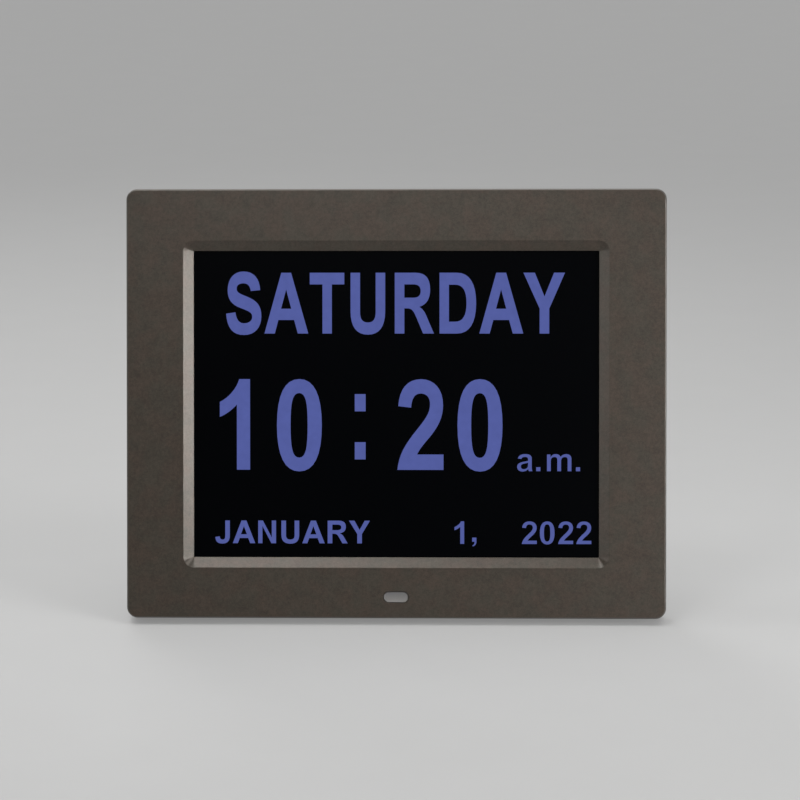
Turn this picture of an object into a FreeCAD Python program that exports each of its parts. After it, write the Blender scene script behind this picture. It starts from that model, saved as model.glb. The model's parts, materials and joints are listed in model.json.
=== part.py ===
import FreeCAD
import Part
# A calendar day clock: a flat rounded frame around an eight-inch screen, with a raised housing
# behind it that holds the board, the speaker, the buttons and a fold-out leg. Millimetres.
# Sub-parts are drawn upright, as on the bench: X to the right, Y from the face towards the back,
# Z up from the lower edge of the frame. The clock then leans back on its feet and its leg, and
# the origin is the middle of its box, on the surface that it stands on.
import math
import os
import re

import Sketcher
from FreeCAD import Placement, Rotation, Vector

SIZES = [
    ("window_width", 162.4, "opening over the screen"),
    ("window_height", 122.8, "opening over the screen"),
    ("frame_side", 26.8, "frame beside the window"),
    ("frame_above", 24.7, "frame above the window"),
    ("frame_below", 24.3, "frame below the window"),
    ("rim_depth", 13.0, "frame, face to the back of its rim"),
    ("corner_radius", 4.3, "corners of the frame"),
    ("edge_chamfer", 0.5, "bright cut along the edge of the face"),
    ("wall", 2.2, "rim of the frame"),
    ("face_thickness", 2.8, "plate around the window"),
    ("lean", 12.0, "angle by which the face leans back"),
    ("window_corner", 0.25, "corners of the window"),
    ("bevel_width", 4.1, "slope from the face down to the window"),
    ("bevel_depth", 2.4, "slope from the face down to the window"),
    ("sensor_width", 9.7, "light sensor's window"),
    ("sensor_height", 4.1, "light sensor's window"),
    ("sensor_drop", 15.8, "middle of the sensor below the window"),
    ("sensor_gap", 0.2, "between the sensor's window and its hole, all round"),
    ("sensor_sink", 0.3, "sensor's window below the face"),
    ("sensor_lip", 1.4, "lip behind the face, wider than the hole by this"),
    ("sensor_lip_thick", 1.0, "lip behind the face"),
    ("receiver_width", 5.6, "sensor itself"),
    ("receiver_height", 5.0, "sensor itself"),
    ("receiver_depth", 2.8, "sensor itself"),
    ("small_board_width", 26.0, "board of the sensor"),
    ("small_board_height", 6.6, "board of the sensor"),
    ("small_board_thick", 1.2, "board of the sensor"),
    ("small_screw_spread", 10.5, "screws of that board, from the middle"),
    ("small_screw_radius", 0.8, "thread"),
    ("small_head_radius", 1.7, "head"),
    ("small_head_thick", 1.0, "head"),
    ("small_screw_bite", 2.6, "thread in its post"),
    ("gasket_width", 5.0, "foam ring between the face and the glass"),
    ("gasket_thick", 0.5, "foam ring between the face and the glass"),
    ("glass_side", 6.8, "glass past the window, at each side"),
    ("glass_end", 5.6, "glass past the window, above and below"),
    ("glass_thick", 1.4, "glass of the screen"),
    ("module_margin", 3.5, "lit panel past the glass, all round"),
    ("module_thick", 4.1, "lit panel behind the glass"),
    ("panel_gap", 0.3, "around the panel in its seat"),
    ("rib_thick", 1.5, "rib that seats the panel"),
    ("rib_depth", 4.0, "rib that seats the panel"),
    ("tray_gap", 3.8, "steel tray behind the panel, inside the rim at each side"),
    ("tray_thick", 0.8, "steel tray behind the panel"),
    ("tray_screw_side", 4.0, "tray screws, from the sides of the tray"),
    ("tray_screw_inset", 30.0, "tray screws, from the lower and upper edges of the tray"),
    ("screw_radius", 1.25, "thread of the larger screws"),
    ("screw_play", 0.25, "hole wider than the thread, in radius"),
    ("screw_bite", 5.0, "thread in its boss"),
    ("head_radius", 2.4, "head of the larger screws"),
    ("head_thick", 1.4, "head of the larger screws"),
    ("head_play", 0.5, "counterbore wider than the head, in radius"),
    ("cross_length", 2.6, "cross in a screw's head"),
    ("cross_width", 0.6, "cross in a screw's head"),
    ("cross_depth", 0.7, "cross in a screw's head"),
    ("boss_radius", 3.4, "screw bosses"),
    ("case_screw_side", 9.5, "outer screws of the cover, from the sides of the frame"),
    ("case_screw_inner", 50.0, "inner screws of the cover, from the middle"),
    ("case_screw_margin", 8.6, "screws of the cover, from the lower and upper edges"),
    ("board_gap", 1.8, "main board to the side walls of the housing"),
    ("board_below", 6.8, "main board to the lower wall of the housing"),
    ("board_above", 13.8, "main board to the upper wall of the housing"),
    ("board_corner", 2.0, "corners of the main board"),
    ("board_thick", 1.6, "main board"),
    ("standoff", 2.6, "posts between the tray and the board"),
    ("post_radius", 3.0, "posts between the tray and the board"),
    ("board_screw_side", 8.0, "screws of the board, from its sides"),
    ("board_screw_margin", 6.0, "screws of the board, from its lower and upper edges"),
    ("cable_width", 40.0, "flat cable from the panel to the board"),
    ("cable_thick", 0.3, "flat cable"),
    ("cable_inset", 2.0, "where the cable leaves the panel, in front of the tray"),
    ("cable_rise", 1.8, "straight part of the cable above the panel"),
    ("cable_bend", 1.95, "bend of the cable, at its middle line"),
    ("cable_slack", 2.0, "gap in the rib on either side of the cable"),
    ("plug_height", 5.0, "connector of the cable"),
    ("plug_depth", 2.2, "connector of the cable"),
    ("plug_margin", 2.0, "connector below the upper edge of the board, and past the cable"),
    ("cover_inset", 1.0, "cover inside the frame's outline"),
    ("cover_flange", 3.0, "flat part of the cover"),
    ("cover_chamfer", 0.8, "edge of the flat part"),
    ("cover_wall", 2.2, "walls of the housing"),
    ("back_gap", 0.6, "between the power socket and the back of the housing"),
    ("block_side", 24.0, "housing inside the frame's outline, at each side"),
    ("block_low", 17.0, "housing above the lower edge of the frame"),
    ("block_above", 19.8, "housing below the upper edge of the frame"),
    ("block_corner", 8.0, "corners of the housing"),
    ("block_round", 2.0, "rounded edge of the housing"),
    ("leg_angle", 25.0, "opening of the leg"),
    ("leg_width", 60.0, "leg"),
    ("leg_thick", 3.6, "leg"),
    ("leg_gap", 0.5, "between the leg and the sides of its recess"),
    ("panel_inset", 6.0, "sunk panel on the leg, from its sides"),
    ("panel_ends", 12.0, "sunk panel on the leg, from the hinge and from the surface"),
    ("panel_sink", 0.8, "sunk panel on the leg"),
    ("panel_corner", 4.0, "sunk panel on the leg"),
    ("hinge_drop", 40.0, "hinge below the top of the housing"),
    ("hinge_inset", 3.0, "hinge below the back of the housing"),
    ("barrel_radius", 3.0, "knuckle of the leg"),
    ("pin_radius", 1.5, "hinge pin"),
    ("pin_play", 0.05, "leg on its pin, in radius"),
    ("pin_overhang", 6.0, "pin past each side of the recess"),
    ("pin_block", 9.0, "block around each end of the pin"),
    ("recess_depth", 6.6, "recess of the leg"),
    ("recess_spare", 3.0, "recess above the heel of the leg"),
    ("heel_length", 9.0, "heel of the leg, above its hinge"),
    ("stop_gap", 0.3, "between the heel and its stop"),
    ("pad_thick", 2.5, "rubber end of the leg"),
    ("pad_lip", 0.6, "rubber end, thicker than the leg by this on each face"),
    ("pad_inset", 1.0, "rubber end, narrower than the leg on each side"),
    ("foot_clear", 0.3, "lowest edge of the frame above the surface"),
    ("foot_front", 10.4, "front of the small feet, behind the face"),
    ("foot_back", 12.6, "back of the small feet, behind the face"),
    ("foot_length", 14.0, "small feet, sideways"),
    ("foot_side", 23.0, "small feet, from the sides of the frame"),
    ("button_drop", 11.0, "highest button, below the wall hooks' holes"),
    ("button_pitch", 13.0, "from one button to the next"),
    ("button_width", 11.0, "button"),
    ("button_height", 7.0, "button"),
    ("button_corner", 2.0, "button"),
    ("button_round", 0.6, "edge of a button"),
    ("button_gap", 0.3, "between a button and its hole"),
    ("button_proud", 1.3, "button above the housing"),
    ("button_lip", 1.2, "lip inside the housing, wider than the button by this"),
    ("button_lip_thick", 1.2, "lip inside the housing"),
    ("button_rest_gap", 0.3, "between the lip and the housing"),
    ("button_travel", 0.6, "how far a button goes in"),
    ("stem_radius", 2.5, "stem between a button and its switch"),
    ("switch_size", 6.0, "body of a switch"),
    ("switch_tall", 3.5, "body of a switch"),
    ("plunger_radius", 1.7, "plunger of a switch"),
    ("plunger_out", 1.7, "plunger above its switch"),
    ("plunger_in", 1.1, "plunger inside its switch"),
    ("plunger_gap", 0.3, "around the plunger, and below it when it is pressed"),
    ("jack_rise", 24.0, "power socket above the lower edge of its board"),
    ("jack_height", 9.0, "power socket, up and down"),
    ("jack_depth", 9.4, "power socket, above its board"),
    ("jack_length", 14.0, "power socket, sideways"),
    ("jack_nose", 3.7, "radius of its nose"),
    ("jack_axis", 5.1, "nose above the board"),
    ("jack_bore", 2.8, "radius of its bore"),
    ("jack_bore_depth", 10.0, "bore"),
    ("jack_pin", 1.0, "radius of the pin in the bore"),
    ("jack_pin_sink", 1.5, "tip of the pin inside the bore"),
    ("jack_gap", 0.2, "between the socket and the housing"),
    ("holder_gap", 3.0, "between the coin cell's holder and the power socket"),
    ("holder_rise", 16.0, "coin cell above the lower edge of its board"),
    ("holder_wall", 1.1, "wall of the cell's holder"),
    ("holder_floor", 1.2, "floor of the cell's holder"),
    ("cell_radius", 10.0, "coin cell"),
    ("cell_thick", 3.2, "coin cell"),
    ("cell_gap", 0.1, "around the coin cell"),
    ("speaker_drop", 3.3, "between the ring of the speaker and the block of the pin above it"),
    ("speaker_radius", 18.0, "speaker"),
    ("speaker_flange", 1.2, "rim of the speaker"),
    ("speaker_basket", 2.3, "basket of the speaker"),
    ("speaker_neck", 11.0, "radius of the basket at the magnet"),
    ("magnet_radius", 9.5, "magnet of the speaker"),
    ("magnet_thick", 2.4, "magnet of the speaker"),
    ("cone_inset", 2.0, "cone of the speaker, inside its rim"),
    ("cone_middle", 6.0, "radius of the cone's flat middle"),
    ("cone_sink", 1.4, "cone of the speaker, at its middle"),
    ("speaker_gap", 0.2, "between the speaker and its ring"),
    ("speaker_ring", 1.5, "ring around the speaker"),
    ("speaker_ring_tall", 3.0, "ring around the speaker"),
    ("grille_hole", 0.9, "radius of a hole in front of the speaker"),
    ("grille_pitch", 4.4, "from one ring of holes to the next"),
    ("vent_gap", 4.6, "vents above the upper wall of the recess"),
    ("vent_pitch", 7.0, "from one vent to the next"),
    ("vent_radius", 1.2, "half the width of a vent"),
    ("vent_length", 10.0, "vent, between the middles of its round ends"),
    ("keyhole_side", 22.0, "wall hooks' holes, from the sides of the housing"),
    ("keyhole_drop", 18.0, "wall hooks' holes below the top of the housing"),
    ("keyhole_radius", 4.0, "hole that a screw's head enters"),
    ("keyhole_slot", 2.0, "half the width of the slot above it"),
    ("keyhole_length", 8.0, "from the hole's middle to the slot's end"),
    ("chip_size", 12.0, "chips on the board"),
    ("chip_thick", 1.4, "chips on the board"),
    ("chip_column", 22.0, "outer chips, from the middle"),
    ("chip_rise", 34.0, "chips above the lower edge of their board"),
]

PLACES = [
    ("case_width", "window_width + 2 * frame_side", "frame, side to side"),
    ("case_height", "frame_below + window_height + frame_above", "frame, lower to upper edge"),
    ("window_mid", "frame_below + window_height / 2", "height of the window's middle"),
    ("sensor_level", "frame_below - sensor_drop", "height of the sensor's middle"),
    ("glass_width", "window_width + 2 * glass_side", "glass, side to side"),
    ("glass_height", "window_height + 2 * glass_end", "glass, lower to upper edge"),
    ("module_width", "glass_width + 2 * module_margin", "lit panel, side to side"),
    ("module_height", "glass_height + 2 * module_margin", "lit panel, lower to upper edge"),
    ("module_top", "window_mid + module_height / 2", "upper edge of the panel"),
    ("tray_width", "case_width - 2 * (wall + tray_gap)", "tray, side to side"),
    ("glass_front", "face_thickness + gasket_thick", "depth of the glass"),
    ("module_front", "glass_front + glass_thick", "depth of the lit panel"),
    ("tray_front", "module_front + module_thick", "depth of the tray"),
    ("tray_back", "tray_front + tray_thick", "back of the tray"),
    ("tray_screw_spread", "tray_width / 2 - tray_screw_side", "tray screws, from the middle"),
    ("tray_screw_rise", "module_height / 2 - tray_screw_inset", "tray screws, up and down"),
    ("case_screw_spread", "case_width / 2 - case_screw_side", "outer screws of the cover"),
    ("flange_back", "rim_depth + cover_flange", "back of the cover's flat part"),
    ("board_front", "tray_back + standoff", "depth of the main board"),
    ("board_back", "board_front + board_thick", "back of the main board"),
    ("inner_back", "board_back + jack_depth + back_gap", "inside of the housing's back"),
    ("back_depth", "inner_back + cover_wall", "face to the back of the housing"),
    ("block_width", "case_width - 2 * block_side", "housing, side to side"),
    ("block_top", "case_height - block_above", "height of the housing's top"),
    ("block_height", "block_top - block_low", "housing, bottom to top"),
    ("block_mid", "block_low + block_height / 2", "height of the housing's middle"),
    ("board_width", "block_width - 2 * (cover_wall + board_gap)", "board, side to side"),
    ("board_low", "block_low + cover_wall + board_below", "lower edge of the main board"),
    ("board_top", "block_top - cover_wall - board_above", "upper edge of the main board"),
    ("board_height", "board_top - board_low", "board, lower to upper edge"),
    ("board_screw_spread", "board_width / 2 - board_screw_side", "board's screws"),
    ("hinge_depth", "back_depth - hinge_inset", "depth of the hinge"),
    ("hinge_height", "block_top - hinge_drop", "height of the hinge"),
    ("recess_floor", "back_depth - recess_depth", "depth of the recess's floor"),
    ("recess_half", "leg_width / 2 + leg_gap", "half the width of the recess"),
    ("recess_top", "hinge_height + heel_length + recess_spare", "top of the recess"),
    ("pin_half", "recess_half + pin_overhang", "half the length of the pin"),
    ("bay_column", "(recess_half + block_width / 2) / 2", "middle of each bay beside the recess"),
    ("keyhole_spread", "block_width / 2 - keyhole_side", "wall hooks' holes"),
    ("keyhole_level", "block_top - keyhole_drop", "height of the wall hooks' holes"),
    ("vent_bottom", "recess_top + cover_wall + vent_gap + vent_radius", "vents' lower middles"),
    ("button_top", "keyhole_level - button_drop", "height of the highest button"),
    ("lip_front", "inner_back - button_rest_gap - button_lip_thick", "front of a button's lip"),
    ("switch_back", "board_back + switch_tall", "top of a switch's body"),
    ("plunger_back", "switch_back + plunger_out", "top of a plunger"),
    ("plunger_front", "switch_back - plunger_in", "inner end of a plunger"),
    ("jack_face", "block_width / 2 - cover_wall - jack_gap", "face of the socket's body"),
    ("jack_depth_mid", "board_back + jack_axis", "depth of the socket's middle"),
    ("jack_level", "board_low + jack_rise", "height of the socket's middle"),
    ("holder_radius", "cell_radius + cell_gap + holder_wall", "outside of the cell's holder"),
    ("holder_column", "jack_face - jack_length - holder_gap - holder_radius", "coin cell"),
    ("holder_level", "board_low + holder_rise", "height of the coin cell's middle"),
    ("ring_radius", "speaker_radius + speaker_gap + speaker_ring", "outside of the speaker's ring"),
    ("speaker_room", "pin_block / 2 + speaker_drop + ring_radius", "speaker below the hinge"),
    ("speaker_level", "hinge_height - speaker_room", "height of the speaker's middle"),
    ("foot_spread", "case_width / 2 - foot_side", "small feet, from the middle"),
    ("leg_slope", "leg_angle - lean", "leg from the upright, when it is open"),
    ("pad_half", "leg_thick / 2 + pad_lip", "half the depth of the rubber end"),
    ("floor_drop", "rim_depth * sin(lean) + foot_clear * cos(lean)", "lower front edge's height"),
    ("hinge_y", "hinge_depth * cos(lean) + hinge_height * sin(lean)", "hinge behind that edge"),
    ("hinge_z", "hinge_height * cos(lean) - hinge_depth * sin(lean) + floor_drop", "its height"),
    ("reach", "hinge_y + hinge_z * tan(leg_slope) + pad_half / cos(leg_slope)", "whole depth"),
    ("shift", "-(reach + edge_chamfer * sin(lean)) / 2", "lower front edge from the origin"),
]

BUTTONS = ["power", "right", "left", "down", "up", "menu"]
GRILLE_RINGS = [1, 6, 12, 18]
VENTS = 7

# The plane of a sketch, by the two axes in it, and which way its normal points.
PLANES = {"XZ": ("XZ_Plane", -1), "YZ": ("YZ_Plane", 1)}

doc = FreeCAD.newDocument("day_clock")
sizes = doc.addObject("Spreadsheet::Sheet", "Sizes")
places = doc.addObject("Spreadsheet::Sheet", "Places")
cell_of = {}
nodes = []


def bind(text):
    """Turns each size's name in an expression into a reference to its cell."""
    return re.sub(r"[a-z][a-z_]*", lambda word: cell_of.get(word[0], word[0]), text)


def value(text):
    """Works an expression out with the present sizes."""
    return float(sizes.evalExpression(bind(text)))


def fill_sheets():
    """Writes the driving dimensions, and then the places that follow from them."""
    for row, (name, number, note) in enumerate(SIZES, start=1):
        sizes.set(f"A{row}", name)
        sizes.set(f"B{row}", str(number))
        sizes.set(f"C{row}", note)
        sizes.setAlias(f"B{row}", name)
        cell_of[name] = "Sizes." + name
    doc.recompute()
    for row, (name, formula, note) in enumerate(PLACES, start=1):
        places.set(f"A{row}", name)
        places.set(f"B{row}", "=" + bind(formula))
        places.set(f"C{row}", note)
        places.setAlias(f"B{row}", name)
        cell_of[name] = "Places." + name
        doc.recompute()


# Sketches

def draw_on(body, plane, at):
    """Adds a sketch to a body, on one of its planes, moved to a place along the third axis."""
    role, sign = PLANES[plane]
    sketch = body.newObject("Sketcher::SketchObject", body.Label + "_sketch")
    origin = next(item for item in body.Origin.OriginFeatures if item.Role == role)
    sketch.AttachmentSupport = [(origin, "")]
    sketch.MapMode = "FlatFace"
    sketch.setExpression("AttachmentOffset.Base.z", bind(f"{sign} * ({at})"))
    return sketch


def dimension(sketch, kind, where, text):
    """Adds one dimension to a sketch and ties it to an expression."""
    index = sketch.addConstraint(Sketcher.Constraint(kind, *where, value(text)))
    label = f"size_{index}"
    sketch.renameConstraint(index, label)
    sketch.setExpression("Constraints." + label, bind(text))


def hold_point(sketch, curve, end, place):
    """Ties a point of a sketch to its two distances from the origin."""
    dimension(sketch, "DistanceX", (-1, 1, curve, end), place[0])
    dimension(sketch, "DistanceY", (-1, 1, curve, end), place[1])


def arc(middle, radius, start, sweep):
    """An arc by its middle, radius and angles in degrees."""
    circle = Part.Circle(Vector(middle[0], middle[1], 0), Vector(0, 0, 1), radius)
    return Part.ArcOfCircle(circle, math.radians(start), math.radians(start + sweep))


def add_polygon(sketch, corners):
    """Draws straight sides through corners that are given as pairs of expressions."""
    points = [Vector(value(x), value(y), 0) for x, y in corners]
    following = points[1:] + points[:1]
    sides = [sketch.addGeometry(Part.LineSegment(a, b)) for a, b in zip(points, following)]
    for side, after, place in zip(sides, sides[1:] + sides[:1], corners):
        sketch.addConstraint(Sketcher.Constraint("Coincident", side, 2, after, 1))
        hold_point(sketch, side, 1, place)


def add_rounded(sketch, middle, across, up, radius):
    """Draws a rectangle with rounded corners about a middle point."""
    ends = [f"({middle[0]}) - ({across}) / 2", f"({middle[0]}) + ({across}) / 2"]
    levels = [f"({middle[1]}) - ({up}) / 2", f"({middle[1]}) + ({up}) / 2"]
    left, right = map(value, ends)
    low, high = map(value, levels)
    bend = value(radius)
    turns = [
        sketch.addGeometry(arc((left + bend, low + bend), bend, 180, 90)),
        sketch.addGeometry(arc((right - bend, low + bend), bend, 270, 90)),
        sketch.addGeometry(arc((right - bend, high - bend), bend, 0, 90)),
        sketch.addGeometry(arc((left + bend, high - bend), bend, 90, 90)),
    ]
    runs = [
        ((left + bend, low), (right - bend, low), "Horizontal"),
        ((right, low + bend), (right, high - bend), "Vertical"),
        ((right - bend, high), (left + bend, high), "Horizontal"),
        ((left, high - bend), (left, low + bend), "Vertical"),
    ]
    sides = []
    for start, end, way in runs:
        side = sketch.addGeometry(Part.LineSegment(Vector(*start, 0), Vector(*end, 0)))
        sketch.addConstraint(Sketcher.Constraint(way, side))
        sides.append(side)
    for turn, side, after in zip(turns, sides, turns[1:] + turns[:1]):
        sketch.addConstraint(Sketcher.Constraint("Tangent", turn, 2, side, 1))
        sketch.addConstraint(Sketcher.Constraint("Tangent", side, 2, after, 1))
    for turn in turns[1:]:
        sketch.addConstraint(Sketcher.Constraint("Equal", turns[0], turn))
    dimension(sketch, "Radius", (turns[0],), radius)
    dimension(sketch, "DistanceX", (-1, 1, sides[3], 1), ends[0])
    dimension(sketch, "DistanceX", (-1, 1, sides[1], 1), ends[1])
    dimension(sketch, "DistanceY", (-1, 1, sides[0], 1), levels[0])
    dimension(sketch, "DistanceY", (-1, 1, sides[2], 1), levels[1])


def add_box(sketch, middle, across, up):
    """Draws a plain rectangle about a middle point."""
    left, right = f"({middle[0]}) - ({across}) / 2", f"({middle[0]}) + ({across}) / 2"
    low, high = f"({middle[1]}) - ({up}) / 2", f"({middle[1]}) + ({up}) / 2"
    add_polygon(sketch, [(left, low), (right, low), (right, high), (left, high)])


def add_circle(sketch, middle, radius):
    """Draws a circle."""
    centre = Vector(value(middle[0]), value(middle[1]), 0)
    ring = sketch.addGeometry(Part.Circle(centre, Vector(0, 0, 1), value(radius)))
    hold_point(sketch, ring, 3, middle)
    dimension(sketch, "Radius", (ring,), radius)


def add_pill(sketch, first, second, radius):
    """Draws a slot with round ends about two middle points."""
    ends = [(value(x), value(y)) for x, y in (first, second)]
    bend = value(radius)
    rise, run = ends[1][1] - ends[0][1], ends[1][0] - ends[0][0]
    way = math.degrees(math.atan2(rise, run))
    near = sketch.addGeometry(arc(ends[0], bend, way + 90, 180))
    far = sketch.addGeometry(arc(ends[1], bend, way - 90, 180))
    out = Vector(-math.sin(math.radians(way)), math.cos(math.radians(way)), 0) * bend
    one, other = Vector(*ends[0], 0), Vector(*ends[1], 0)
    below = sketch.addGeometry(Part.LineSegment(one - out, other - out))
    above = sketch.addGeometry(Part.LineSegment(other + out, one + out))
    for before, after in ((near, below), (below, far), (far, above), (above, near)):
        sketch.addConstraint(Sketcher.Constraint("Tangent", before, 2, after, 1))
    hold_point(sketch, near, 3, first)
    hold_point(sketch, far, 3, second)
    sketch.addConstraint(Sketcher.Constraint("Equal", near, far))
    dimension(sketch, "Radius", (near,), radius)


# Features. Those drawn on XZ run from their sketch towards the back; those on YZ run both ways.

def new_body(name):
    """Starts a sub-part, which may be a group of like solids."""
    body = doc.addObject("PartDesign::Body", name)
    body.Label = name
    body.AllowCompound = True
    nodes.append(body)
    return body


def feature_of(sketch, kind, length):
    """Adds a pad or pocket of a sketch to its body."""
    body = sketch.getParentGeoFeatureGroup()
    feature = body.newObject("PartDesign::" + kind, f"{body.Label}_{kind.lower()}")
    feature.Profile = sketch
    feature.setExpression("Length", bind(length))
    if "XZ" in sketch.AttachmentSupport[0][0].Role:
        feature.Reversed = kind == "Pad"
    else:
        feature.SideType = "Symmetric"
    return feature


def pad(sketch, length):
    """Adds material."""
    return feature_of(sketch, "Pad", length)


def cut(sketch, length):
    """Takes material away. A cut that misses the solid is a fault."""
    body = sketch.getParentGeoFeatureGroup()
    doc.recompute()
    before = body.Shape.Volume
    feature = feature_of(sketch, "Pocket", length)
    doc.recompute()
    if not body.Shape.Volume < before:
        raise RuntimeError(f"a cut in {body.Label} takes nothing away")
    return feature


def edges_at(body, test):
    """Names the edges of a body's present shape that pass a test."""
    doc.recompute()
    edges = enumerate(body.Shape.Edges, start=1)
    return [f"Edge{number}" for number, edge in edges if test(edge)]


def lies_at(edge, depth):
    """Says whether an edge lies in the plane at a depth."""
    return all(abs(vertex.Y - depth) < 0.001 for vertex in edge.Vertexes)


def dress(body, kind, size, test):
    """Rounds or chamfers the edges that pass a test."""
    names = edges_at(body, test)
    base = body.Tip
    feature = body.newObject("PartDesign::" + kind, f"{body.Label}_{kind.lower()}")
    feature.Base = (base, names)
    feature.setExpression("Radius" if kind == "Fillet" else "Size", bind(size))
    return feature


def solid(name, at, length, draw):
    """Makes a sub-part that is one sketch, drawn by a function and padded."""
    body = new_body(name)
    sketch = draw_on(body, "XZ", at)
    draw(sketch)
    pad(sketch, length)
    return body


def screws(name, middles, seat, bite, thread, head, head_tall):
    """Makes a group of screws. Their heads sit on a depth, and their threads run forwards."""
    body = new_body(name)
    threads = draw_on(body, "XZ", f"{seat} - ({bite})")
    heads = draw_on(body, "XZ", seat)
    for middle in middles:
        add_circle(threads, middle, thread)
        add_circle(heads, middle, head)
    pad(threads, bite)
    pad(heads, head_tall)
    return body


def add_crosses(body, middles, top):
    """Cuts the driver's cross into a group of screw heads."""
    for across, up in (("cross_length", "cross_width"), ("cross_width", "cross_length")):
        marks = draw_on(body, "XZ", f"{top} - cross_depth")
        for middle in middles:
            add_box(marks, middle, across, up)
        cut(marks, "cross_depth")


# Where the screws go

def case_screw_places():
    """The eight screws of the cover."""
    columns = ["-case_screw_spread", "-case_screw_inner", "case_screw_inner", "case_screw_spread"]
    rows = ["case_screw_margin", "case_height - case_screw_margin"]
    return [(x, z) for z in rows for x in columns]


def tray_screw_places():
    """The four screws of the tray."""
    rows = ["window_mid - tray_screw_rise", "window_mid + tray_screw_rise"]
    return [(x, z) for z in rows for x in ("-tray_screw_spread", "tray_screw_spread")]


def board_screw_places():
    """The four screws of the main board."""
    rows = ["board_low + board_screw_margin", "board_top - board_screw_margin"]
    return [(x, z) for z in rows for x in ("-board_screw_spread", "board_screw_spread")]


def small_screw_places():
    """The two screws of the sensor's board."""
    return [(x, "sensor_level") for x in ("-small_screw_spread", "small_screw_spread")]


def sensor_pill(sketch, height, width):
    """Draws the sensor's pill shape at a height and width."""
    half = f"(({width}) - ({height})) / 2"
    middles = [(f"-{half}", "sensor_level"), (half, "sensor_level")]
    add_pill(sketch, *middles, f"({height}) / 2")


# Front

def make_front_frame():
    """The flat frame: a plate with a window, a sloping edge around it, a rim and bosses."""
    body = new_body("front_frame")
    middle = ("0", "case_height / 2")
    window = ("0", "window_mid")

    outline = draw_on(body, "XZ", "0")
    add_rounded(outline, middle, "case_width", "case_height", "corner_radius")
    pad(outline, "rim_depth")
    dress(body, "Chamfer", "edge_chamfer", lambda edge: lies_at(edge, 0))

    inside = draw_on(body, "XZ", "face_thickness")
    wide, tall = "case_width - 2 * wall", "case_height - 2 * wall"
    add_rounded(inside, middle, wide, tall, "corner_radius - wall")
    cut(inside, "rim_depth - face_thickness")

    outer = draw_on(body, "XZ", "0")
    wide, tall = "window_width + 2 * bevel_width", "window_height + 2 * bevel_width"
    add_rounded(outer, window, wide, tall, "window_corner + bevel_width")
    inner = draw_on(body, "XZ", "bevel_depth")
    add_rounded(inner, window, "window_width", "window_height", "window_corner")
    slope = body.newObject("PartDesign::SubtractiveLoft", "front_frame_slope")
    slope.Profile = outer
    slope.Sections = [inner]
    slope.Ruled = True
    opening = draw_on(body, "XZ", "bevel_depth")
    add_rounded(opening, window, "window_width", "window_height", "window_corner")
    cut(opening, "face_thickness - bevel_depth")
    hole = draw_on(body, "XZ", "0")
    sensor_pill(hole, "sensor_height + 2 * sensor_gap", "sensor_width + 2 * sensor_gap")
    cut(hole, "face_thickness")

    seat = draw_on(body, "XZ", "face_thickness")
    wide, tall = "module_width + 2 * panel_gap", "module_height + 2 * panel_gap"
    add_box(seat, window, wide, tall)
    add_box(seat, window, wide + " + 2 * rib_thick", tall + " + 2 * rib_thick")
    pad(seat, "rib_depth")
    gap = draw_on(body, "XZ", "face_thickness")
    passage = "cable_width + 2 * cable_slack"
    add_box(gap, ("0", "module_top + panel_gap + rib_thick / 2"), passage, "rib_thick")
    cut(gap, "rib_depth")

    bosses = [
        (case_screw_places(), "rim_depth", "boss_radius", "screw_radius", "screw_bite"),
        (tray_screw_places(), "tray_front", "boss_radius", "screw_radius", "screw_bite"),
        (
            small_screw_places(), "face_thickness + sensor_lip_thick + receiver_depth",
            "small_head_radius", "small_screw_radius", "small_screw_bite",
        ),
    ]
    for middles, top, radius, thread, bite in bosses:
        posts = draw_on(body, "XZ", "face_thickness")
        bores = draw_on(body, "XZ", f"{top} - {bite}")
        for spot in middles:
            add_circle(posts, spot, radius)
            add_circle(bores, spot, thread)
        pad(posts, f"{top} - face_thickness")
        cut(bores, bite)


def make_sensor():
    """The sensor's window, the sensor behind it and its own small board."""
    window = new_body("sensor_window")
    face = draw_on(window, "XZ", "sensor_sink")
    sensor_pill(face, "sensor_height", "sensor_width")
    pad(face, "face_thickness - sensor_sink")
    lip = draw_on(window, "XZ", "face_thickness")
    sensor_pill(lip, "sensor_height + 2 * sensor_lip", "sensor_width + 2 * sensor_lip")
    pad(lip, "sensor_lip_thick")

    behind = "face_thickness + sensor_lip_thick"
    middle = ("0", "sensor_level")
    solid(
        "light_sensor", behind, "receiver_depth",
        lambda sketch: add_box(sketch, middle, "receiver_width", "receiver_height"),
    )
    board = solid(
        "sensor_board", behind + " + receiver_depth", "small_board_thick",
        lambda sketch: add_box(sketch, middle, "small_board_width", "small_board_height"),
    )
    holes = draw_on(board, "XZ", behind + " + receiver_depth")
    for spot in small_screw_places():
        add_circle(holes, spot, "small_screw_radius")
    cut(holes, "small_board_thick")
    screws(
        "sensor_screws", small_screw_places(), behind + " + receiver_depth + small_board_thick",
        "small_screw_bite + small_board_thick", "small_screw_radius", "small_head_radius",
        "small_head_thick",
    )


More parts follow.
